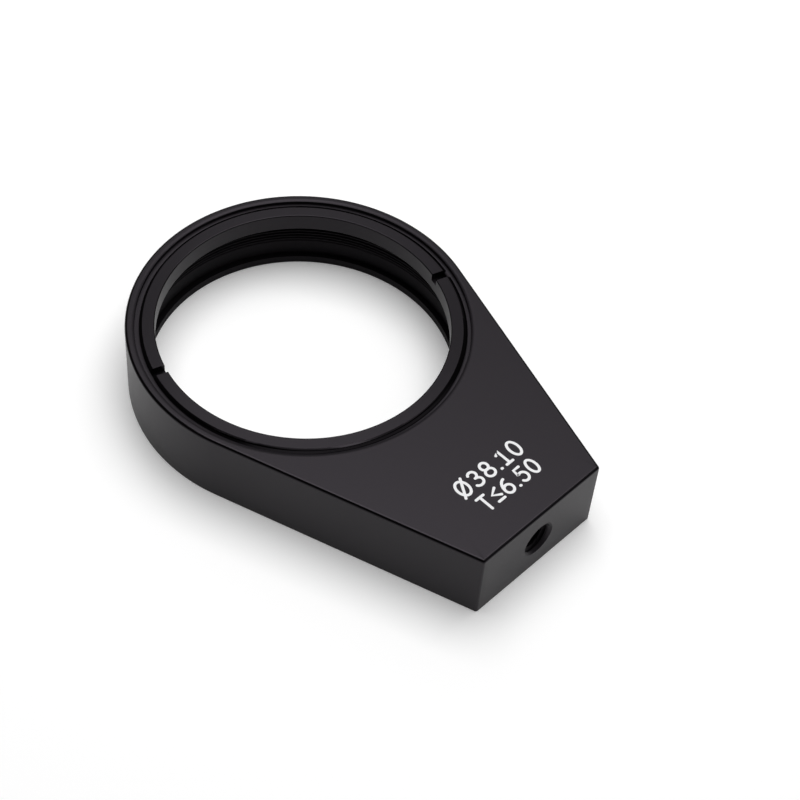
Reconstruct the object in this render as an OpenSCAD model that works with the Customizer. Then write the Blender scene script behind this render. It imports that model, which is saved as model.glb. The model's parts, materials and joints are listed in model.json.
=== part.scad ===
// Fixed mount for a round lens: a threaded plate with a seat for the lens,
// and the slotted ring that screws in behind the lens to hold it.
// Frame: the optical axis is +Z, z = 0 is the back face, the foot points to -Y.

/* [Plate] */
// Outside radius of the round end
rim_r = 21; // [21:0.1:24]
// Thickness along the optical axis
plate_t = 9.8; // [9.6:0.1:14]
// Distance from the optical axis to the end of the foot
foot_reach = 38.3; // [36:0.1:50]
// Width of the foot at its end
foot_w = 19.1; // [12:0.1:30]
// Size of the small bevel on the outside edges
edge_break = 0.15; // [0.1:0.05:0.5]
// Depth of the small flat on the foot's two upright corners
corner_break = 0.1; // [0.05:0.05:0.3]

/* [Lens bore] */
// Radius at the bottom of the thread's grooves
thread_r = 19.5; // [19.5:0.05:19.65]
// Radius of the clear opening behind the lens
aperture_r = 18.7; // [17:0.05:18.9]
// Height of the seat that the lens rests on
seat_z = 1.1; // [0.8:0.1:1.4]
// Depth of the bevel round the back of the opening
back_bevel = 0.1; // [0.1:0.05:0.5]
// Radius of the plain wall between the seat and the thread
wall_r = 19.4; // [19.2:0.02:19.46]
// Height above the back face at which the thread starts
thread_z = 3.2; // [2.4:0.1:4]
// Radius of the shallow step round the bore's mouth
mouth_r = 19.9; // [19.8:0.02:20.2]
// Depth of that step below the front face
mouth_h = 0.3; // [0.25:0.05:0.6]
// Size of the bevel on the step's edge
mouth_break = 0.15; // [0.05:0.05:0.2]

/* [Retaining ring] */
// Outside radius of the ring, over its thread
ring_r = 19.45; // [19.4:0.01:19.49]
// Radius of the ring's opening
ring_bore_r = 17.5; // [16.5:0.05:18.2]
// Thickness of the ring
ring_h = 1.7; // [1.5:0.1:2.4]
// Distance of the ring's front face below the plate's front face
ring_sink = 0.2; // [0:0.1:1.4]
// Size of the bevel on the ring's inside edges
ring_break = 0.1; // [0.05:0.05:0.3]
// Size of the bevel on the ring's outside edges, where its thread starts
ring_bevel = 0.35; // [0.2:0.05:0.5]
// Width of the two spanner slots
slot_w = 1.1; // [0.6:0.1:1.6]
// Depth of the two spanner slots
slot_d = 1; // [0.5:0.1:1.2]
// Direction of the slots, from +X towards +Y
slot_turn = -18; // [-90:1:90]

/* [Post hole] */
// Radius at the bottom of the thread's grooves
post_r = 2; // [1.5:0.05:2.5]
// Depth of the full hole
post_depth = 10; // [6:0.5:12]
// Size of the 45 degree countersink at the hole's mouth
post_sink = 0.3; // [0.1:0.05:0.6]

/* [Hidden] */
$fn = 180;
eps = 0.5;                                // how far a cutter runs past a face
black = [0.06, 0.06, 0.065];
// The foot's sides touch the round end where a line from the corner is tangent to it.
corner = [foot_w / 2, -foot_reach];
corner_d = norm(corner);
tangent_a = atan2(corner.y, corner.x) + acos(rim_r / corner_d);
side_l = sqrt(corner_d * corner_d - rim_r * rim_r);
// The flat on an upright corner faces halfway between the foot's end and its side.
corner_a = (tangent_a - 90) / 2;
corner_reach = corner * [cos(corner_a), sin(corner_a)] - corner_break;
drill_tip = post_r / tan(59);             // cone left by a 118 degree drill
step_z = plate_t - mouth_h;
ring_z = plate_t - ring_sink - ring_h;

// Section of the plate's edge, out to x = reach, bevelled at both faces.
module edge_section(start, reach) {
  b = edge_break;
  polygon([[start, 0], [reach - b, 0], [reach, b], [reach, plate_t - b], [reach - b, plate_t],
    [start, plate_t]]);
}

// Round end of the plate, from one tangent point over the top to the other.
module round_end() {
  rotate([0, 0, tangent_a])
    rotate_extrude(angle = 180 - 2 * tangent_a)
      edge_section(0, rim_r);
}

// Straight bar whose outside face is one side of the foot; it starts at the tangent point.
module side_bar() {
  rotate([0, 0, tangent_a]) rotate([90, 0, 0])
    linear_extrude(side_l + foot_w) edge_section(-foot_w, rim_r);
}

// Long straight bar with one outside face, which stands at a distance and faces a direction.
module facing_bar(direction, distance) {
  rotate([0, 0, direction]) rotate([90, 0, 0]) translate([0, 0, -foot_reach])
    linear_extrude(2 * foot_reach) edge_section(-foot_reach, distance);
}

// The foot is what the bars for its sides, its end and its two upright corners have in common.
module foot() {
  intersection() {
    side_bar();
    mirror([1, 0, 0]) side_bar();
    facing_bar(-90, foot_reach);
    facing_bar(corner_a, corner_reach);
    facing_bar(-180 - corner_a, corner_reach);
  }
}

// Everything turned out of the plate round the optical axis.
module lens_bore() {
  rotate_extrude()
    polygon([[0, -eps], [aperture_r + back_bevel + eps, -eps], [aperture_r, back_bevel],
      [aperture_r, seat_z], [wall_r, seat_z], [wall_r, thread_z], [thread_r, thread_z],
      [thread_r, step_z], [mouth_r, step_z], [mouth_r, plate_t - mouth_break],
      [mouth_r + mouth_break + eps, plate_t + eps], [0, plate_t + eps]]);
}

// Blind tapped hole for the post, from the end of the foot towards the bore.
module post_hole() {
  translate([0, -foot_reach, plate_t / 2]) rotate([-90, 0, 0])
    rotate_extrude()
      polygon([[0, -eps], [post_r + post_sink + eps, -eps], [post_r, post_sink],
        [post_r, post_depth], [0, post_depth + drill_tip]]);
}

module mount_body() {
  color(black) difference() {
    union() {
      round_end();
      foot();
    }
    lens_bore();
    post_hole();
  }
}

module retaining_ring() {
  c = ring_break;
  b = ring_bevel;
  color(black) translate([0, 0, ring_z]) difference() {
    rotate_extrude()
      polygon([[ring_bore_r + c, 0], [ring_r - b, 0], [ring_r, b], [ring_r, ring_h - b],
        [ring_r - b, ring_h], [ring_bore_r + c, ring_h], [ring_bore_r, ring_h - c],
        [ring_bore_r, c]]);
    rotate([0, 0, slot_turn])
      translate([0, 0, ring_h - slot_d / 2 + eps / 2])
        cube([2 * ring_r + 2 * eps, slot_w, slot_d + eps], center = true);
  }
}

mount_body();
retaining_ring();
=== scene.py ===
# %% [markdown]
# # A lens mount and its retaining ring
#
# The object is a small black anodised plate that holds a round lens on an optical bench. It has two
# pieces: the plate itself, with a finely threaded bore, a seat for the lens and a tapped hole for a
# post, and a slotted ring that screws into the bore behind the lens.
#
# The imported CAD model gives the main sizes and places. It leaves out the fine threads and the softest
# edges, so each of its two nodes is replaced here by one closed surface in the same place. The nodes
# could be kept and given a bump that looks like a thread, but from the side a bump stays flat.

# %% Load the frame
import json

import bmesh
import bpy
import numpy as np
from mathutils import Matrix, Vector


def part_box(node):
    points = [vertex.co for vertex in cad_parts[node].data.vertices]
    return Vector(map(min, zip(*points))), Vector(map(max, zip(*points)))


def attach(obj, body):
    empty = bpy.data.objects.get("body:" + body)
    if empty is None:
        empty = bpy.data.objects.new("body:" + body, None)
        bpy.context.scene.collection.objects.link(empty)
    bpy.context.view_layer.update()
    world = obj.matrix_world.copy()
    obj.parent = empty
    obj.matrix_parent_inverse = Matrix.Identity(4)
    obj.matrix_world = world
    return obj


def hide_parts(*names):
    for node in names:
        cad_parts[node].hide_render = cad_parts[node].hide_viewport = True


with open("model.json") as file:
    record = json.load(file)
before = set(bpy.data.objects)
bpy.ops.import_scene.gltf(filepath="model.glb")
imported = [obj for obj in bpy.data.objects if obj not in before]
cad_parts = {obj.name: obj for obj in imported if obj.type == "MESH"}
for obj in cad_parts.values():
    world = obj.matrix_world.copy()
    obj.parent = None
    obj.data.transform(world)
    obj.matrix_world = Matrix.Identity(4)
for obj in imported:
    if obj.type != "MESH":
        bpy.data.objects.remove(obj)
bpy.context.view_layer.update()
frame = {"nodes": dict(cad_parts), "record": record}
MM = 0.001
mounts = {m["name"]: m for m in frame["record"]["mounts"]}

# %% [markdown]
# ## The sizes that the frame gives
#
# The plate's box gives its thickness, the radius of its round end and the reach of its foot. The
# mounts give the clear opening, the seat and the post hole. The ring's two radii are read from its own
# vertices, because the box of a circle drawn with straight edges can fall a little short.

# %% Read the sizes
plate_low, plate_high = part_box("mount_body")
ring_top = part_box("retaining_ring")[1].z
plate_t = plate_high.z
rim_r = plate_high.x
foot_reach = -plate_low.y
aperture_r = mounts["light_opening"]["dims"]["r_mm"] * MM
seat_z = mounts["lens_seat"]["pos_m"][2]
post_z = mounts["post_hole"]["pos_m"][2]
post_r = mounts["post_hole"]["dims"]["r_mm"] * MM


def vertex_places(mesh):
    """The places of a mesh's vertices as an array, and their distances from the optical axis."""
    places = np.array([v.co[:] for v in mesh.vertices])
    return places, np.hypot(places[:, 0], places[:, 1])


ring_radii = vertex_places(frame["nodes"]["retaining_ring"].data)[1]
ring_r = ring_radii.max()
ring_bore_r = ring_radii.min()
print(f"plate {plate_t / MM:.2f} mm thick, ring {ring_bore_r / MM:.2f} to {ring_r / MM:.2f} mm")

# %% [markdown]
# ## The camera
#
# The mount lies on its back face, and the camera looks down on it over the foot's left corner. A long
# lens keeps the ellipse of the bore nearly free of perspective. The view is written as the angles a
# photographer would use: round the object, up from the floor, and a slight tilt of the camera.

# %% Place the camera
AROUND = np.radians(-49.553)
ABOVE = np.radians(50.475)
TILT = np.radians(5.503)
DISTANCE = 0.23644
AIM = Vector((0.005934, -0.010996, 0.0))
FOCAL_MM = 87.8615
NEAREST = 0.01

back = Vector((np.sin(AROUND) * np.cos(ABOVE), -np.cos(AROUND) * np.cos(ABOVE), np.sin(ABOVE)))
level_right = Vector((np.cos(AROUND), np.sin(AROUND), 0.0))
level_up = back.cross(level_right)
right = np.cos(TILT) * level_right + np.sin(TILT) * level_up
up = -np.sin(TILT) * level_right + np.cos(TILT) * level_up
camera_data = bpy.data.cameras.new("camera")
camera_data.lens = FOCAL_MM
camera_data.clip_start = NEAREST
camera = bpy.data.objects.new("camera", camera_data)
turned = Matrix((right, up, back)).transposed().to_4x4()
camera.matrix_world = Matrix.Translation(AIM + back * DISTANCE) @ turned
bpy.context.scene.collection.objects.link(camera)
bpy.context.scene.camera = camera
bpy.context.scene.view_settings.view_transform = "Standard"
print("camera at", [round(c, 4) for c in camera.matrix_world.translation])

# %% [markdown]
# ## The floor
#
# The object lies on a matt white sheet that keeps its shadow. A floor could be made white with more
# light, but that would wash out the object, too. So the floor glows a little instead, where the camera
# sees it and in what the black finish mirrors, and lights nothing. Far from the object the lamp no
# longer reaches it, and it glows more there, so it stays pale in low views.

# %% Helpers for materials
def shader(name, color, roughness):
    """A Principled material with one plain colour and roughness, ready for more nodes."""
    material = bpy.data.materials.new(name)
    material.use_nodes = True
    principled = material.node_tree.nodes["Principled BSDF"]
    principled.inputs["Base Color"].default_value = (*color, 1.0)
    principled.inputs["Roughness"].default_value = roughness
    return material, material.node_tree, principled


def feed(tree, value, socket):
    """Gives an input its value: a link where the value is another node's output, else the value itself."""
    if isinstance(value, bpy.types.NodeSocket):
        tree.links.new(value, socket)
    else:
        socket.default_value = value


def worked_out(tree, operation, first, second):
    """The output of a Math node: first and second added, multiplied and so on, as operation says."""
    node = tree.nodes.new("ShaderNodeMath")
    node.operation = operation
    feed(tree, first, node.inputs[0])
    feed(tree, second, node.inputs[1])
    return node.outputs[0]


def ramp(tree, value, low, high, start, end, kind="SMOOTHSTEP"):
    """A Map Range output that goes from start, where value is low, to end, where value is high."""
    node = tree.nodes.new("ShaderNodeMapRange")
    node.interpolation_type = kind
    feed(tree, value, node.inputs["Value"])
    for socket, bound in (("From Min", low), ("From Max", high), ("To Min", start), ("To Max", end)):
        node.inputs[socket].default_value = bound
    return node.outputs["Result"]


# %% Make the floor
FLOOR_HALF = 1.5
FLOOR_WHITE = 0.91
FLOOR_ROUGHNESS = 0.9
FLOOR_GLOW = 0.18
FAR_GLOW = 1.0
GLOW_GROWS_FROM, GLOW_GROWS_TO = 0.1, 0.45
corners = [(-FLOOR_HALF, -FLOOR_HALF, 0), (FLOOR_HALF, -FLOOR_HALF, 0),
           (FLOOR_HALF, FLOOR_HALF, 0), (-FLOOR_HALF, FLOOR_HALF, 0)]
floor_mesh = bpy.data.meshes.new("floor")
floor_mesh.from_pydata(corners, [], [(0, 1, 2, 3)])
floor = bpy.data.objects.new("floor", floor_mesh)
bpy.context.scene.collection.objects.link(floor)
floor_paint, tree, principled = shader("floor_paint", (FLOOR_WHITE,) * 3, FLOOR_ROUGHNESS)
principled.inputs["Specular IOR Level"].default_value = 0.0
principled.inputs["Emission Color"].default_value = (1, 1, 1, 1)
place = tree.nodes.new("ShaderNodeTexCoord")
away = tree.nodes.new("ShaderNodeVectorMath")
away.operation = "LENGTH"
feed(tree, place.outputs["Object"], away.inputs[0])
spread = ramp(tree, away.outputs["Value"], GLOW_GROWS_FROM, GLOW_GROWS_TO, FLOOR_GLOW, FAR_GLOW)
light_path = tree.nodes.new("ShaderNodeLightPath")
seen = worked_out(tree, "MULTIPLY", light_path.outputs["Is Camera Ray"], spread)
mirrored = worked_out(tree, "MULTIPLY", light_path.outputs["Is Glossy Ray"], FLOOR_GLOW)
feed(tree, worked_out(tree, "ADD", seen, mirrored), principled.inputs["Emission Strength"])
floor_mesh.materials.append(floor_paint)
print(f"floor {2 * FLOOR_HALF:.0f} m wide, white {FLOOR_WHITE}")

# %% [markdown]
# ## The light
#
# Black anodising shows little colour of its own. What the eye reads as its shape is what it mirrors:
# a bright soft ceiling that comes down on the far side and at the front right, a dimmer room on the
# camera's side, and the white floor in its side walls. So one square softbox hangs over the object,
# and the world is a dim grey with three soft-edged lights in it. They could be lamps as well, but a
# light in the world is set by its direction alone. The smallest stands high on the camera's side and
# puts light on the near part of the ring's bevel.

# %% Light the studio
ROOM = 0.05
# Each light: the direction it shines from, the angles from its middle at which it starts to fade and
# is gone, and its level.
SOFT_LIGHTS = [
    ((0.50, 0.45, 0.74), 10, 40, 0.5),
    ((0.32, -0.48, 0.81), 5, 35, 0.5),
    ((-0.28, -0.2, 0.94), 4, 20, 0.8),
]
world = bpy.data.worlds.new("studio")
world.use_nodes = True
bpy.context.scene.world = world
tree = world.node_tree
direction = tree.nodes.new("ShaderNodeTexCoord").outputs["Generated"]
total = ROOM
for towards, full, gone, strength in SOFT_LIGHTS:
    facing = tree.nodes.new("ShaderNodeVectorMath")
    facing.operation = "DOT_PRODUCT"
    facing.inputs[1].default_value = Vector(towards).normalized()
    feed(tree, direction, facing.inputs[0])
    low, high = np.cos(np.radians((gone, full)))
    level = ramp(tree, facing.outputs["Value"], low, high, 0, strength)
    total = worked_out(tree, "ADD", total, level)
feed(tree, total, tree.nodes["Background"].inputs["Strength"])
tree.nodes["Background"].inputs["Color"].default_value = (1, 1, 1, 1)
print("soft lights:", len(SOFT_LIGHTS))


# %% Hang the softbox
def softbox(name, place, size, power):
    """A square lamp at place that faces the object."""
    lamp_data = bpy.data.lights.new(name, "AREA")
    lamp_data.size = size
    lamp_data.energy = power
    lamp = bpy.data.objects.new(name, lamp_data)
    lamp.location = place
    lamp.rotation_euler = (Vector(place) * -1).to_track_quat("-Z", "Y").to_euler()
    bpy.context.scene.collection.objects.link(lamp)
    print(f"{name}: {size} m square")


softbox("ceiling", place=(0.07, 0.033, 0.4), size=0.34, power=1.45)

# %% [markdown]
# ## Surfaces as grids
#
# Every new piece is made of grids of points. In the plate and the ring one direction goes round the
# optical axis and the other goes round the section, so the grid closes on itself. A modifier could
# spin the section like a lathe, but a thread makes the two ends of the grid meet one pitch apart. So
# the rows slide along the axis as they go round, and stop at the thread's ends. The points that land
# on each other are welded, and the skin comes out closed.

# %% Close and smooth a mesh
WELD = 2e-7
SHARP = np.radians(24)


def finish_mesh(mesh):
    """Welds the points of a mesh, turns its faces outwards and prints whether it is closed."""
    work = bmesh.new()
    work.from_mesh(mesh)
    bmesh.ops.remove_doubles(work, verts=work.verts, dist=WELD)
    bmesh.ops.dissolve_degenerate(work, edges=work.edges, dist=WELD)
    loose = [e for e in work.edges if not e.link_faces]
    bmesh.ops.delete(work, geom=loose, context="EDGES")
    if work.calc_volume(signed=True) < 0:
        bmesh.ops.reverse_faces(work, faces=work.faces)
    open_edges = sum(not e.is_manifold for e in work.edges)
    volume = work.calc_volume() / MM**3
    work.to_mesh(mesh)
    work.free()
    mesh.shade_smooth()
    mesh.set_sharp_from_angle(angle=SHARP)
    print(f"{mesh.name}: {len(mesh.polygons)} faces, {volume:.1f} cubic mm, {open_edges} open edges")
    return mesh


# %% Turn grids into a piece
def skin(name, *grids):
    """Welds grids points[row, column] whose rows close round a section, each into one shell.

    Each cell joins (row, column), (row, column + 1), (row + 1, column + 1) and (row + 1, column).
    The last row joins the first. The last column lies on the first, or shrinks to a line.
    """
    points, quads = [], []
    for grid in grids:
        rows, columns = grid.shape[:2]
        row, column = np.meshgrid(np.arange(rows), np.arange(columns - 1), indexing="ij")
        here = len(points) + row * columns + column
        below = len(points) + (row + 1) % rows * columns + column
        quads += np.stack([here, here + 1, below + 1, below], axis=-1).reshape(-1, 4).tolist()
        points += grid.reshape(-1, 3).tolist()
    mesh = bpy.data.meshes.new(name)
    mesh.from_pydata(points, [], quads)
    return finish_mesh(mesh)


def piece(mesh):
    """Puts a mesh in the scene as an object at the origin."""
    made = bpy.data.objects.new(mesh.name, mesh)
    bpy.context.scene.collection.objects.link(made)
    return made


# %% [markdown]
# ## The fine thread
#
# A metric thread is a groove with 60 degree flanks, wound as a helix. Seen at one angle it is a wave
# along the axis, flat at its bottom for 1/8 of the pitch and at its crest for 1/4. Going once round
# shifts the wave by one pitch. The ring's thread is the same wave, a little smaller, so it always
# lies inside the bore's, also when the ring is moved by whole turns.
#
# In the plate the thread comes out of a plain wall, where its ridges are low at first. It ends at a
# ledge round the mouth, which cuts the last ridge off. A modelled helix was chosen over rings stacked
# one pitch apart, because the run-out and the blunt end show that the ridge really winds.

# %% Size the thread
PITCH = 0.5 * MM
# A metric thread in a hole is 0.541 of its pitch deep.
DEPTH_SHARE = 0.541
THREAD_DEPTH = DEPTH_SHARE * PITCH
# The distances from the middle of a groove, in pitches, at which its bottom ends and the crest starts.
GROOVE_FLAT = 1 / 16
CREST_FLAT = 3 / 8
WALL_R = 19.4 * MM
THREAD_Z = 3.2 * MM
RUN_OUT = 1.2 * MM
THREAD_END = np.radians(-95)
LEDGE_DEPTH = 0.55 * MM
RING_PLAY = 0.05 * MM
LAST_RIDGE = 0.21 * MM
ledge_z = plate_t - LEDGE_DEPTH
thread_r = ring_r + RING_PLAY
# At the thread's end the middle of a ridge would be a little above the ledge, which cuts it off.
thread_start = ledge_z + LAST_RIDGE - PITCH * (0.5 + THREAD_END / (2 * np.pi))
print(f"thread: {(ledge_z - THREAD_Z) / PITCH:.1f} turns, {THREAD_DEPTH / MM:.2f} mm deep")

# %% Work out the thread's surface
# Where the wave's rows go, in pitches from the middle of a groove: its corners, and mid-flank.
MID_FLANK = (GROOVE_FLAT + CREST_FLAT) / 2
WAVE_ROWS = np.array([-GROOVE_FLAT, GROOVE_FLAT, MID_FLANK, CREST_FLAT, 1 - CREST_FLAT, 1 - MID_FLANK])
SPARE_TURNS = 2


def wave(turns):
    """1 at the bottom of a groove, 0 on a crest, straight flanks between, for each whole turn."""
    off = np.abs(turns - np.round(turns))
    return np.clip((CREST_FLAT - off) / (CREST_FLAT - GROOVE_FLAT), 0, 1)


def bore_wall(z, angle):
    """Radius of the threaded bore: its groove radius less the ridge's height times (1 - wave).

    The ridge's height grows from the plain wall's to the full depth over the run-out. Angles are
    counted from the thread's end, and what lies past the last groove there has no ridge.
    """
    wound = THREAD_END + np.mod(angle - THREAD_END, 2 * np.pi)
    turns = (z - thread_start) / PITCH - wound / (2 * np.pi)
    grown = np.clip((z - THREAD_Z) / RUN_OUT, 0, 1)
    ridge = (thread_r - WALL_R) * (1 - grown) + THREAD_DEPTH * grown
    return thread_r - ridge * (1 - wave(turns)) * (turns <= 0)


def helix_rows(low, high, start, pitch, angle):
    """Heights z[row, column] that climb one pitch a turn from each wave row, held between low and high.

    The rows start and end some turns outside, so that every column passes both.
    """
    first = np.floor((low - start) / pitch) - SPARE_TURNS
    last = np.ceil((high - start) / pitch) + SPARE_TURNS
    turns = (np.arange(first, last)[:, None] + WAVE_ROWS).ravel()
    z = start + pitch * (turns[:, None] + angle[None, :] / (2 * np.pi))
    return np.clip(z, low, high)


# %% [markdown]
# ## The plate's outline
#
# From above the plate is a circle with a tapered foot. The foot's sides touch the circle, so a line
# and an arc describe everything: half of the foot's end, a small round corner, one side, the round
# end, and the same again mirrored. A drawn curve would do as well, but here each point also keeps the
# direction that faces outwards there. Points moved inwards by one width then make an even rounded edge.

# %% Points along a line and an arc
def on_line(start, end, count):
    """Points of a line at even angles seen from the axis, without the last one."""
    a0 = np.arctan2(start[1], start[0])
    a1 = np.arctan2(end[1], end[0])
    angle = np.linspace(a0, a1, count, endpoint=False)
    ray = np.stack([np.cos(angle), np.sin(angle)], axis=-1)
    along = np.subtract(end, start)
    normal = np.array([along[1], -along[0]]) / np.hypot(*along)
    reach = (normal @ start) / (ray @ normal)
    return ray * reach[:, None], np.broadcast_to(normal, ray.shape)


def on_arc(centre, radius, a0, a1, count):
    """Points of an arc, which face straight away from its centre, without the last one."""
    angle = np.linspace(a0, a1, count, endpoint=False)
    normal = np.stack([np.cos(angle), np.sin(angle)], axis=-1)
    return centre + radius * normal, normal


# %% Describe the outline
FOOT_W = 19.1 * MM
CORNER_R = 0.35 * MM
ROUND_STEP = np.radians(1.25)
END_STEPS, CORNER_STEPS, SIDE_STEPS = 12, 6, 46

corner = np.array([FOOT_W / 2, -foot_reach])
tangent = np.arctan2(corner[1], corner[0]) + np.arccos(rim_r / np.hypot(*corner))
side_normal = np.array([np.cos(tangent), np.sin(tangent)])
end_normal = np.array([0.0, -1.0])
# The round corner's centre lies its radius inside both the end and the side.
corner_centre = np.linalg.solve(np.array([end_normal, side_normal]),
                                np.array([foot_reach - CORNER_R, rim_r - CORNER_R]))
half = [
    on_line((0.0, -foot_reach), corner_centre + CORNER_R * end_normal, END_STEPS),
    on_arc(corner_centre, CORNER_R, -np.pi / 2, tangent, CORNER_STEPS),
    on_line(corner_centre + CORNER_R * side_normal, rim_r * side_normal, SIDE_STEPS),
    on_arc(np.zeros(2), rim_r, tangent, np.pi / 2, int((np.pi / 2 - tangent) / ROUND_STEP)),
]
edge_points = np.concatenate([h[0] for h in half] + [[[0.0, rim_r]]])
edge_normals = np.concatenate([h[1] for h in half] + [[[0.0, 1.0]]])
mirror = np.array([-1.0, 1.0])
outline = np.concatenate([edge_points, edge_points[-2::-1] * mirror])
facing_out = np.concatenate([edge_normals, edge_normals[-2::-1] * mirror])
column_angle = np.unwrap(np.arctan2(outline[:, 1], outline[:, 0]))
print(f"outline of {len(outline)} points, foot side at {np.degrees(tangent):.2f} degrees")

# %% [markdown]
# ## The plate
#
# The skin starts at the back face's outer edge and goes round the section: inwards over the back
# face, up through the clear opening, over the seat, up the plain wall and the thread, out over the
# ledge, up its steep wall, over the low, gently rounded shoulder to the front face, and down the
# outside. Turning and milling could be copied with cuts from a block, but one shell has no seams, and
# every row lies where the finish needs it: close to each rounded edge is one more row, which keeps the
# flat faces flat. The ledge is drawn 0.55 mm deep, deeper than the 0.3 mm step that the CAD has.

# %% Rows of the plate's grid
def ring_row(radius, z, angle):
    """A row of the grid on a circle: x and y turn with the angle at that radius, z is given."""
    radius = np.broadcast_to(radius, angle.shape)
    height = np.broadcast_to(z, angle.shape)
    return np.stack([radius * np.cos(angle), radius * np.sin(angle), height], axis=-1)


def outline_row(inset, z):
    """A row on the outline, moved inwards by inset."""
    return np.column_stack([outline - inset * facing_out, np.full(len(outline), z)])


def between(first, last, count):
    """Rows on straight lines from one row to another, without both ends."""
    share = np.linspace(0, 1, count + 2)[1:-1]
    return [first + s * (last - first) for s in share]


# %% Size the plate's edges
BACK_BEVEL = 0.1 * MM
LEDGE_INNER_R = 19.6 * MM
LEDGE_R = 19.88 * MM
LEDGE_FALL = 0.06 * MM
SHOULDER_W = 0.42 * MM
SHOULDER_H = 0.12 * MM
WALL_LEAN = 0.04 * MM
FRONT_ROUND = 0.36 * MM
BACK_ROUND = 0.12 * MM
NEXT_TO = 0.03 * MM
MARK_H = 0.008 * MM
QUARTER = np.linspace(0, np.pi / 2, 6)
FACE_ROWS, SIDE_ROWS = 3, 2
# The marking's top is the highest point, so the face lies a hair lower.
face_z = plate_t - MARK_H
# The shoulder is an arc that ends level with the face: its width and height give its angle and radius.
shoulder_turn = 2 * np.arctan(SHOULDER_H / SHOULDER_W)
shoulder_round = SHOULDER_W / np.sin(shoulder_turn)
shoulder_r = LEDGE_R + WALL_LEAN + SHOULDER_W
print(f"shoulder from {(shoulder_r - SHOULDER_W) / MM:.2f} to {shoulder_r / MM:.2f} mm")

# %% Build the plate's skin
back_edge = outline_row(BACK_ROUND + NEXT_TO, 0.0)
back_bore = ring_row(aperture_r + BACK_BEVEL, 0.0, column_angle)
front_bore = ring_row(shoulder_r + NEXT_TO, face_z, column_angle)
front_edge = outline_row(FRONT_ROUND + NEXT_TO, face_z)
thread_top = ledge_z - LEDGE_FALL
thread_heights = helix_rows(THREAD_Z, thread_top, thread_start, PITCH, column_angle)
top_radius = bore_wall(thread_top, column_angle)

plate_rows = [outline_row(BACK_ROUND, 0.0), back_edge]
plate_rows += between(back_edge, back_bore, FACE_ROWS)
plate_rows += [back_bore,
               ring_row(aperture_r, BACK_BEVEL, column_angle),
               ring_row(aperture_r, seat_z, column_angle),
               ring_row(WALL_R, seat_z, column_angle),
               ring_row(WALL_R, THREAD_Z, column_angle)]
plate_rows += [ring_row(bore_wall(z, column_angle), z, column_angle) for z in thread_heights]
plate_rows += [ring_row(top_radius, thread_top, column_angle)]
plate_rows += [ring_row(r, ledge_z, column_angle) for r in (LEDGE_INNER_R, LEDGE_INNER_R + NEXT_TO, LEDGE_R)]
plate_rows += [ring_row(LEDGE_R + WALL_LEAN, face_z - SHOULDER_H - NEXT_TO, column_angle)]
plate_rows += [ring_row(shoulder_r - shoulder_round * np.sin(t), face_z - shoulder_round * (1 - np.cos(t)),
                        column_angle)
               for t in np.linspace(shoulder_turn, 0, len(QUARTER))]
plate_rows += [front_bore]
plate_rows += between(front_bore, front_edge, FACE_ROWS)
plate_rows += [front_edge]
plate_rows += [outline_row(FRONT_ROUND * (1 - np.sin(t)), face_z - FRONT_ROUND * (1 - np.cos(t)))
               for t in QUARTER]
side_top = outline_row(0.0, face_z - FRONT_ROUND - NEXT_TO)
side_foot = outline_row(0.0, BACK_ROUND + NEXT_TO)
plate_rows += [side_top, *between(side_top, side_foot, SIDE_ROWS), side_foot]
plate_rows += [outline_row(BACK_ROUND * (1 - np.cos(t)), BACK_ROUND * (1 - np.sin(t)))
               for t in QUARTER[:-1]]
plate = piece(skin("plate", np.array(plate_rows)))

# %% [markdown]
# ## The tapped post hole
#
# The hole in the foot's end is drilled, threaded and countersunk. It can't be part of the plate's grid,
# which only goes round the optical axis. So its space is made as a solid plug first, threads and drill
# tip included, and then taken out of the plate.

# %% Cut one piece with another
def cut(target, tool_mesh):
    """Takes the space of tool_mesh out of the target and keeps the result as the target's mesh."""
    tool = piece(tool_mesh)
    change = target.modifiers.new("cut", "BOOLEAN")
    change.object = tool
    change.solver = "EXACT"
    graph = bpy.context.evaluated_depsgraph_get()
    result = bpy.data.meshes.new_from_object(target.evaluated_get(graph))
    target.modifiers.clear()
    result.name = target.name
    target.data = finish_mesh(result)
    bpy.data.objects.remove(tool)


# %% Tap the post hole
POST_PITCH = 0.7 * MM
POST_DEPTH = 10.0 * MM
POST_SINK = 0.3 * MM
POST_COLUMNS = 64
DRILL_SLOPE = np.tan(np.radians(59))
OVERRUN = 0.5 * MM

post_angle = np.linspace(0, 2 * np.pi, POST_COLUMNS + 1)
depth = helix_rows(0.0, POST_DEPTH, 0.0, POST_PITCH, post_angle)
post_wave = wave(depth / POST_PITCH - post_angle / (2 * np.pi))
post_wall = post_r - DEPTH_SHARE * POST_PITCH * (1 - post_wave)
post_wall = np.maximum(post_wall, post_r + POST_SINK - depth)
drill_r = post_r - DEPTH_SHARE * POST_PITCH
zero = np.zeros_like(post_angle)
post_heights = np.concatenate([[zero - OVERRUN], [zero - OVERRUN], depth, [zero + POST_DEPTH],
                               [zero + POST_DEPTH + drill_r / DRILL_SLOPE]])
post_radii = np.concatenate([[zero], [zero + post_r + POST_SINK], post_wall, [zero + drill_r], [zero]])
plug = np.stack([post_radii * np.cos(post_angle), -foot_reach + post_heights,
                 post_z + post_radii * np.sin(post_angle)], axis=-1)
cut(plate, skin("post_plug", plug))

# %% [markdown]
# ## The retaining ring
#
# The ring is turned: flat faces, a bore, and a thread outside that runs out through both bevels. The
# front bevel is gentle. The back one is at 45 degrees and lets the ring pass the end of the plate's
# thread. The ring is drawn 2.3 mm thick, thicker than its CAD node, down from the same front face. Two
# slots across that face take a spanner wrench. They are cut out last, so the grid stays simple.

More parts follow.
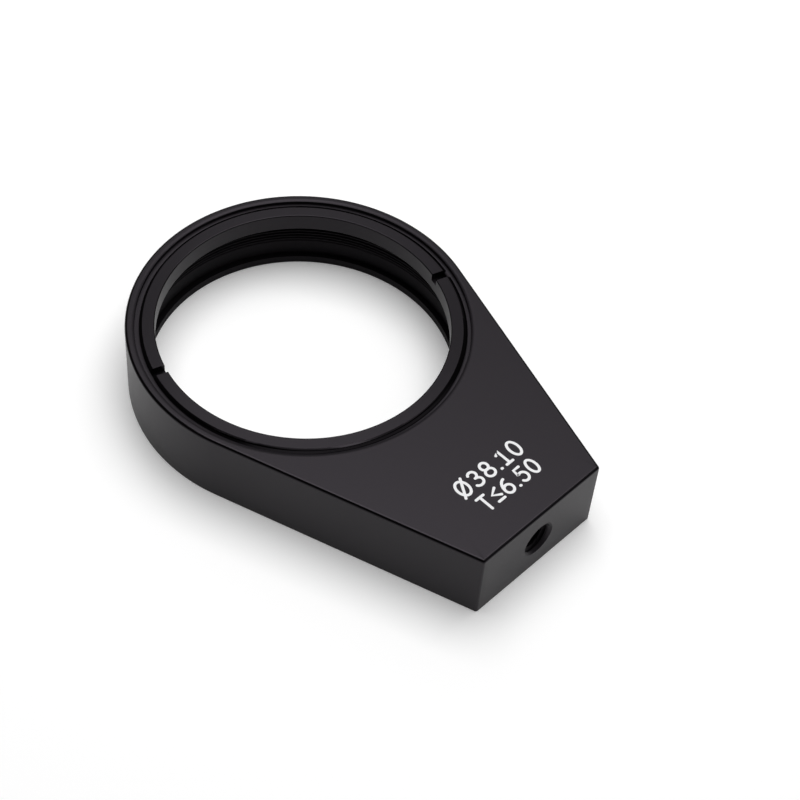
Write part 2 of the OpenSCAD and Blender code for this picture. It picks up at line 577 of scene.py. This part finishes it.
# %% Turn the ring
RING_COLUMNS = 288
RING_H = 2.3 * MM
RING_BEVEL = 0.5 * MM
RING_BEVEL_H = 0.23 * MM
RING_ROUND = 0.13 * MM

ring_angle = np.linspace(0, 2 * np.pi, RING_COLUMNS + 1)
ring_foot = ring_top - RING_H
ring_heights = helix_rows(ring_foot, ring_top, thread_start, PITCH, ring_angle)
ring_turns = (ring_heights - thread_start) / PITCH - ring_angle / (2 * np.pi)
ring_wall = ring_r - THREAD_DEPTH * (1 - wave(ring_turns))
ring_wall = np.minimum(ring_wall, ring_r - RING_BEVEL * (1 - (ring_top - ring_heights) / RING_BEVEL_H))
ring_wall = np.minimum(ring_wall, ring_r - RING_BEVEL + ring_heights - ring_foot)
ring_rows = [ring_row(r, z, ring_angle) for r, z in zip(ring_wall, ring_heights)]
ring_rows += [ring_row(ring_bore_r + RING_ROUND + NEXT_TO, ring_top, ring_angle)]
ring_rows += [ring_row(ring_bore_r + RING_ROUND * (1 - np.sin(t)), ring_top - RING_ROUND * (1 - np.cos(t)),
                       ring_angle)
              for t in QUARTER]
ring_rows += [ring_row(ring_bore_r, ring_top - RING_ROUND - NEXT_TO, ring_angle),
              ring_row(ring_bore_r, ring_foot + RING_ROUND + NEXT_TO, ring_angle)]
ring_rows += [ring_row(ring_bore_r + RING_ROUND * (1 - np.cos(t)), ring_foot + RING_ROUND * (1 - np.sin(t)),
                       ring_angle)
              for t in QUARTER]
ring_rows += [ring_row(ring_bore_r + RING_ROUND + NEXT_TO, ring_foot, ring_angle)]
ring = piece(skin("ring", np.array(ring_rows)))

# %% Cut the ring's slots
SLOT_W = 1.1 * MM
SLOT_D = 1.0 * MM
SLOT_TURN = np.radians(-18)

slot_corners = np.array([[x, y, z] for x in (-1, 1) for y in (-1, 1) for z in (0, 1)], float)
slot_corners *= [ring_r + OVERRUN, SLOT_W / 2, SLOT_D + OVERRUN]
slot_corners[:, 2] += ring_top - SLOT_D
slot_turned = slot_corners.copy()
slot_turned[:, 0] = slot_corners[:, 0] * np.cos(SLOT_TURN) - slot_corners[:, 1] * np.sin(SLOT_TURN)
slot_turned[:, 1] = slot_corners[:, 0] * np.sin(SLOT_TURN) + slot_corners[:, 1] * np.cos(SLOT_TURN)
slot_sides = [(0, 1, 3, 2), (4, 6, 7, 5), (0, 4, 5, 1), (2, 3, 7, 6), (0, 2, 6, 4), (1, 5, 7, 3)]
slot_mesh = bpy.data.meshes.new("slot")
slot_mesh.from_pydata(slot_turned.tolist(), [], slot_sides)
cut(ring, finish_mesh(slot_mesh))

# %% [markdown]
# ## The marking
#
# The size of the lens that the mount takes is marked on the foot in two short lines. A font would
# bring its own shapes, so the figures are drawn here: each stroke is a line or part of an ellipse,
# widened to a flat band with round ends. It stands a hair proud of the face, as a laser's mark does,
# and reaches a little below it, so no gap shows.

# %% Draw the figures
def bow(centre, radii, start, end, count=20):
    """Points of part of an ellipse, from one angle to another in degrees."""
    angle = np.radians(np.linspace(start, end, count))
    return np.column_stack([centre[0] + radii[0] * np.cos(angle), centre[1] + radii[1] * np.sin(angle)])


# Strokes of each figure, with a height of 1, and the figure's width.
FIGURES = {
    "\u00d8": ([bow((0.36, 0.5), (0.36, 0.5), 0, 360, 40), np.array([[0.0, -0.06], [0.72, 1.06]])], 0.72),
    "\u2264": ([np.array([[0.5, 0.92], [0.0, 0.62], [0.5, 0.32]]),
                np.array([[0.0, 0.06], [0.5, 0.06]])], 0.5),
    "1": ([np.array([[0.0, 0.8], [0.26, 1.0], [0.26, 0.0]]), np.array([[0.02, 0.0], [0.5, 0.0]])], 0.5),
    "3": ([bow((0.28, 0.76), (0.25, 0.24), 150, -90), bow((0.27, 0.26), (0.3, 0.26), 90, -150)], 0.57),
    "5": ([np.vstack([[[0.54, 1.0], [0.1, 1.0], [0.05, 0.56]],
                      bow((0.27, 0.32), (0.3, 0.32), 125, -145)])], 0.57),
    "6": ([bow((0.3, 0.3), (0.3, 0.3), 0, 360, 32), bow((0.6, 0.3), (0.6, 0.7), 180, 100)], 0.6),
    "8": ([bow((0.29, 0.75), (0.24, 0.25), 0, 360, 28), bow((0.29, 0.26), (0.29, 0.26), 0, 360, 32)], 0.58),
    ".": ([np.array([[0.0, 0.0], [0.04, 0.0]])], 0.04),
    "0": ([bow((0.29, 0.5), (0.29, 0.5), 0, 360, 40)], 0.58),
    "T": ([np.array([[0.0, 1.0], [0.6, 1.0]]), np.array([[0.3, 1.0], [0.3, 0.0]])], 0.6),
}
print("figures:", len(FIGURES))

# %% Widen the strokes to bands
STROKE = 0.34 * MM
BAND_DEPTH = 0.02 * MM
CAP_STEPS = 4


def band(path, z):
    """A flat band along a path, as a grid: four rows round its section, columns along it.

    Half its width is w = sqrt(h^2 - s^2) at a distance s past each end of an open path, and h along it.
    """
    half = STROKE / 2
    closed = np.allclose(path[0], path[-1])
    way = np.gradient(path, axis=0)
    if closed:
        way[0] = way[-1] = path[1] - path[-2]
    way /= np.hypot(*way.T)[:, None]
    width = np.full(len(path), half)
    if not closed:
        past = half * np.sin(np.linspace(0, np.pi / 2, CAP_STEPS + 1)[1:])
        cap = np.sqrt(np.maximum(half**2 - past**2, 0))
        path = np.vstack([path[0] - past[::-1, None] * way[0], path, path[-1] + past[:, None] * way[-1]])
        way = np.vstack([np.tile(way[0], (CAP_STEPS, 1)), way, np.tile(way[-1], (CAP_STEPS, 1))])
        width = np.concatenate([cap[::-1], width, cap])
    across = np.column_stack([-way[:, 1], way[:, 0]]) * width[:, None]
    low = z - BAND_DEPTH
    sides = [(path + across, z), (path - across, z), (path - across, low), (path + across, low)]
    return np.array([np.column_stack([flat, np.full(len(flat), high)]) for flat, high in sides])


# %% Write the lines
SPACE = 0.34
# Strokes that cross lie a thousandth of a millimetre apart.
CROSSING = 0.001 * MM
# Each line: its figures, then in millimetres its left and right ends, its foot and its height.
LINES = [("\u00d838.10", -4.82, 4.9, -30.94, 2.1), ("T\u22646.50", -4.19, 4.52, -33.97, 1.97)]


def write(words, left, right, base, height):
    """Bands of a line of figures from x = left to x = right, standing on y = base."""
    advance = np.array([FIGURES[w][1] + SPACE for w in words])
    places = np.concatenate([[0], np.cumsum(advance)])
    scale = (right - left) / (places[-1] - SPACE)
    bands = []
    for word, place in zip(words, places):
        for number, stroke in enumerate(FIGURES[word][0]):
            path = np.column_stack([left + scale * (place + stroke[:, 0]), base + height * stroke[:, 1]])
            bands.append(band(path, plate_t - number * CROSSING))
    return bands


marks = []
for words, left, right, base, height in LINES:
    marks += write(words, left * MM, right * MM, base * MM, height * MM)
marking = piece(skin("marking", *marks))

# %% [markdown]
# ## Black anodising
#
# Anodised aluminium is a clear, hard oxide layer dyed black. Light meets the layer's surface first,
# which mirrors a few hundredths of it softly, and the dye below swallows nearly all the rest. A black
# metal would mirror far too much, so the finish is a very dark base under a satin, non-metal gloss. Its
# grain is fine noise, and the gloss and the base change in two zones: edges that a tool left smooth,
# and the walls of the threaded bore and the post hole. In both zones the darker base is painted: a
# painted dark line along the edges, and painted shade on the walls of the bore and the post hole.

# %% Describe the black finish
# The dye gives what the surface mirrors a faint violet tone.
TINT = (0.98, 0.88, 1.0, 1.0)
GLOSS_VARIES = 0.04
GRAIN = 0.12 * MM
GRAIN_DETAIL = 2.0
# Attribute, roughness and share of the base colour of each zone. The darker base is painted: painted
# shade on the walls of the bore and the post hole (cut), and a painted dark line on the edges (edge).
ZONES = [("cut", 0.7, 0.15), ("edge", 0.13, 0.1)]


def blended(tree, kind, first, second, share):
    """A Mix node's output between two inputs, by an attribute of the piece."""
    mix = tree.nodes.new("ShaderNodeMix")
    mix.data_type = kind
    factor, a, b = [s for s in mix.inputs if s.enabled]
    fed = tree.nodes.new("ShaderNodeAttribute")
    fed.attribute_name = share
    feed(tree, fed.outputs["Fac"], factor)
    feed(tree, first, a)
    feed(tree, second, b)
    return [s for s in mix.outputs if s.enabled][0]


def anodised(name, color, mirrors, roughness, grain_depth):
    """Dyed oxide: a near-black base, a satin gloss that varies a little, and a fine blasted grain."""
    material, tree, principled = shader(name, color, roughness)
    principled.inputs["Specular IOR Level"].default_value = mirrors
    principled.inputs["Specular Tint"].default_value = TINT
    place = tree.nodes.new("ShaderNodeTexCoord")
    grain = tree.nodes.new("ShaderNodeTexNoise")
    grain.inputs["Scale"].default_value = 1 / GRAIN
    grain.inputs["Detail"].default_value = GRAIN_DETAIL
    feed(tree, place.outputs["Object"], grain.inputs["Vector"])
    smooth, rough = roughness - GLOSS_VARIES, roughness + GLOSS_VARIES
    sheen = ramp(tree, grain.outputs["Fac"], 0, 1, smooth, rough, "LINEAR")
    dye_and_painted_shade = (*color, 1.0)
    # Each zone sets its own roughness and darkens the base colour: painted shade in the bore and the post
    # hole, and a painted dark line on the edges.
    for zone, zone_roughness, share in ZONES:
        sheen = blended(tree, "FLOAT", sheen, zone_roughness, zone)
        dye_and_painted_shade = blended(tree, "RGBA", dye_and_painted_shade, (*(c * share for c in color), 1.0), zone)
    feed(tree, sheen, principled.inputs["Roughness"])
    feed(tree, dye_and_painted_shade, principled.inputs["Base Color"])
    bump = tree.nodes.new("ShaderNodeBump")
    bump.inputs["Distance"].default_value = grain_depth
    bump.inputs["Strength"].default_value = 1.0
    feed(tree, grain.outputs["Fac"], bump.inputs["Height"])
    feed(tree, bump.outputs["Normal"], principled.inputs["Normal"])
    return material, tree, principled


# %% Make the three finishes
CIRCLES_SHOW = 0.6
QUARTER_TURN = 0.25

plate_black = anodised("plate_black", (0.0078, 0.0068, 0.0082), mirrors=0.195, roughness=0.39,
                       grain_depth=0.0015 * MM)[0]
ring_black, tree, principled = anodised("ring_black", (0.0066, 0.0058, 0.007), mirrors=0.17, roughness=0.33,
                                        grain_depth=0.0006 * MM)
# A turned face is smooth along its circles and rougher across them.
principled.inputs["Anisotropic"].default_value = CIRCLES_SHOW
principled.inputs["Anisotropic Rotation"].default_value = QUARTER_TURN
around = tree.nodes.new("ShaderNodeTangent")
around.direction_type = "RADIAL"
around.axis = "Z"
feed(tree, around.outputs["Tangent"], principled.inputs["Tangent"])
marking_white = shader("marking_white", (0.85, 0.85, 0.86), 0.6)[0]
print("finishes:", plate_black.name, ring_black.name, marking_white.name)

# %% [markdown]
# ## Zones of the finish and of its painted shade
#
# The zones could be painted by hand. Here each point says for itself whether it belongs to one, from
# its height and its distance from the optical axis, and the finish fades between the points. The
# ring's outside bevel and thread are smooth edges, too, with the painted dark line of the edge zone,
# and nothing on the ring has the painted shade of the bore's zone.

# %% Mark the zones and paint the pieces
HAIR = 0.005 * MM


def mark(mesh, name, chosen):
    """Writes an attribute of the mesh's points: 1 where chosen, 0 elsewhere."""
    mesh.attributes.new(name, "FLOAT", "POINT").data.foreach_set("value", chosen.astype(np.float32))
    print(f"{mesh.name}: {chosen.sum()} points in zone {name}")


def within(value, low, high):
    """True where the value lies between low and high, and not on them."""
    return (value > low) & (value < high)


points, from_axis = vertex_places(plate.data)
height = points[:, 2]
rounded = within(height, face_z - FRONT_ROUND - HAIR, face_z - HAIR) & (from_axis > shoulder_r + HAIR)
in_bore = within(height, HAIR, thread_top - HAIR) & (from_axis < LEDGE_INNER_R)
in_post = (np.hypot(points[:, 0], height - post_z) < post_r + HAIR) & (points[:, 1] < -rim_r)
# The edge zone: smoother gloss and a darker base, a painted dark line on the front edge. The cut zone:
# rougher gloss and a darker base, painted shade on the walls of the bore and the post hole.
mark(plate.data, "edge", rounded)
mark(plate.data, "cut", in_bore | in_post)
points, from_axis = vertex_places(ring.data)
rounded = within(points[:, 2], ring_top - RING_ROUND - HAIR, ring_top - HAIR)
rounded &= from_axis < ring_bore_r + RING_ROUND - HAIR
# On the ring the edge zone's darker base is a painted dark line, too, and no point gets the painted shade of
# the cut zone.
mark(ring.data, "edge", rounded | (from_axis > ring_r - RING_BEVEL + HAIR))
mark(ring.data, "cut", np.zeros(len(points), bool))
for made, paint in ((plate, plate_black), (ring, ring_black), (marking, marking_white)):
    made.data.materials.clear()
    made.data.materials.append(paint)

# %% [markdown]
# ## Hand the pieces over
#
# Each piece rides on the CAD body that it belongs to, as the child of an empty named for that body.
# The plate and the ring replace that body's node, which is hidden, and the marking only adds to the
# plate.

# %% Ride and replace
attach(plate, "plate")
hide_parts("mount_body")
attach(ring, "ring")
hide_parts("retaining_ring")
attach(marking, "plate")
print("handed over:", plate.name, ring.name, marking.name)
